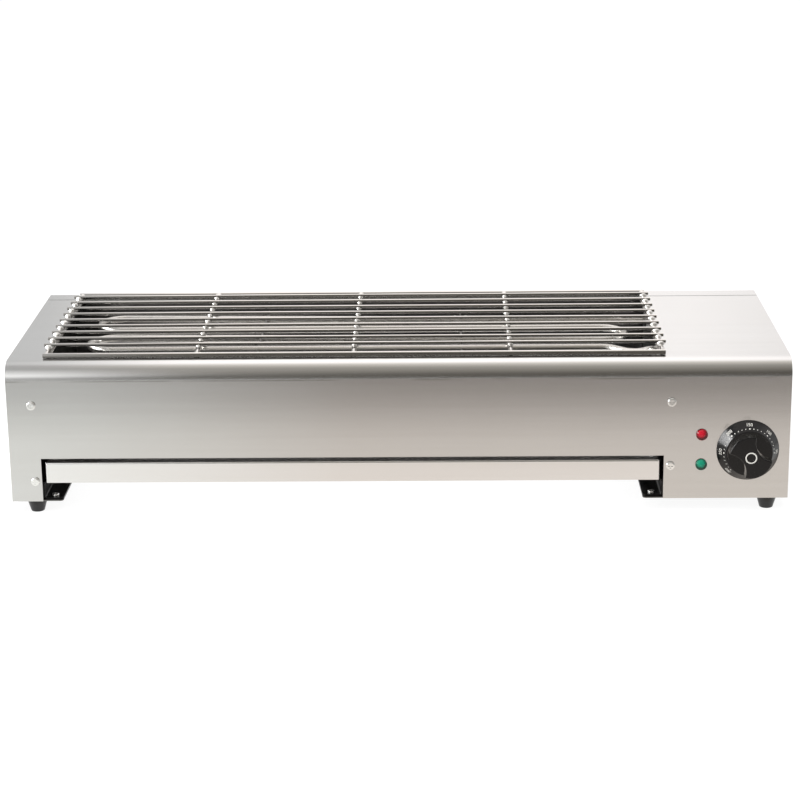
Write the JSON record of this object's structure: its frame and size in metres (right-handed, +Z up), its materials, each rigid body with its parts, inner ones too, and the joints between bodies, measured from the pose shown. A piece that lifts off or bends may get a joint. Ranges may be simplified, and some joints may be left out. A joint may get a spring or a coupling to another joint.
{
  "type": "electric skewer grill",
  "caption": "Low rectangular electric grill with a lift-off rod grate over a W-shaped heating tube, a pull-out drip tray, a control box with dial and pilot lamps, and rubber feet.",
  "frame": {"origin": "on the table surface, under the middle of the whole grill including its dial and its cable gland", "axes": "+X along the housing towards the control box, +Y from the front panel to the rear cover, +Z up"},
  "size_m": [0.7, 0.314, 0.149],
  "materials": {
    "brushed_shell": "long-grain brushed stainless sheet",
    "inner_sheet": "plain mill-finish steel sheet, heat-dulled",
    "rail_black": "black painted steel",
    "tray_steel": "satin stainless sheet",
    "grate_rod": "bright drawn stainless rod",
    "tube_sheath": "bright stainless tube sheath",
    "plated_steel": "nickel-plated steel",
    "brass_parts": "turned brass",
    "copper_capillary": "bare copper tube",
    "insulator_ceramic": "white steatite",
    "dial_black": "gloss black phenolic",
    "lens_red": "clear red plastic",
    "lens_green": "clear green plastic",
    "switch_plastic": "black switch plastic",
    "block_plastic": "white terminal plastic",
    "foot_rubber": "black rubber",
    "lead_brown": "brown silicone insulation",
    "lead_red": "red silicone insulation",
    "lead_blue": "blue silicone insulation"
  },
  "bodies": {
    "housing": {"front_top_shell": "brushed_shell", "rear_cover": "brushed_shell", "left_end_panel": "brushed_shell", "right_end_panel": "brushed_shell", "left_inner_wall": "inner_sheet", "right_inner_wall": "inner_sheet", "front_heat_shield": "inner_sheet", "rear_heat_shield": "inner_sheet", "left_leg_base": "inner_sheet", "control_box_base": "inner_sheet", "left_tube_support": "inner_sheet", "right_tube_support": "inner_sheet", "bulb_clips": "inner_sheet", "left_tray_rail": "rail_black", "right_tray_rail": "rail_black", "heating_tube": "tube_sheath", "sensor_bulb": "tube_sheath", "front_screws": "plated_steel", "rear_screws": "plated_steel", "base_screws": "plated_steel", "rail_screws": "plated_steel", "foot_screws": "plated_steel", "foot_nuts": "plated_steel", "support_rivets": "plated_steel", "thermostat_screws": "plated_steel", "terminal_screws": "plated_steel", "pilot_push_nuts": "plated_steel", "tube_pins": "plated_steel", "tube_bushings": "plated_steel", "tube_nuts": "plated_steel", "earth_stud": "brass_parts", "earth_nuts": "brass_parts", "capillary_tube": "copper_capillary", "tube_insulators": "insulator_ceramic", "red_pilot_lens": "lens_red", "green_pilot_lens": "lens_green", "thermostat_body": "switch_plastic", "pilot_lamp_bodies": "switch_plastic", "cable_gland": "switch_plastic", "gland_cap": "switch_plastic", "gland_locknut": "switch_plastic", "terminal_block": "block_plastic", "front_left_foot": "foot_rubber", "front_right_foot": "foot_rubber", "rear_left_foot": "foot_rubber", "rear_right_foot": "foot_rubber", "live_lead": "lead_brown", "element_lead": "lead_red", "neutral_lead": "lead_blue"},
    "tray": {"tray_pan": "tray_steel", "tray_fascia": "tray_steel"},
    "grate": {"grate_frame": "grate_rod", "grate_cross_rods": "grate_rod", "grate_bars": "grate_rod"},
    "dial": {"control_knob": "dial_black", "thermostat_shaft": "plated_steel"}
  },
  "joints": [
    {"name": "tray_slide", "type": "slide", "parent": "housing", "child": "tray", "axis": [0, -1, 0], "range_m": [0, 0.246]},
    {"name": "grate_lift", "type": "slide", "parent": "housing", "child": "grate", "axis": [0, 0, 1], "range_m": [0, 0.06]},
    {"name": "dial_turn", "type": "hinge", "parent": "housing", "child": "dial", "pos_m": [0.312, -0.128, 0.059], "axis": [0, 1, 0], "range_deg": [-124, 135]}
  ]
}
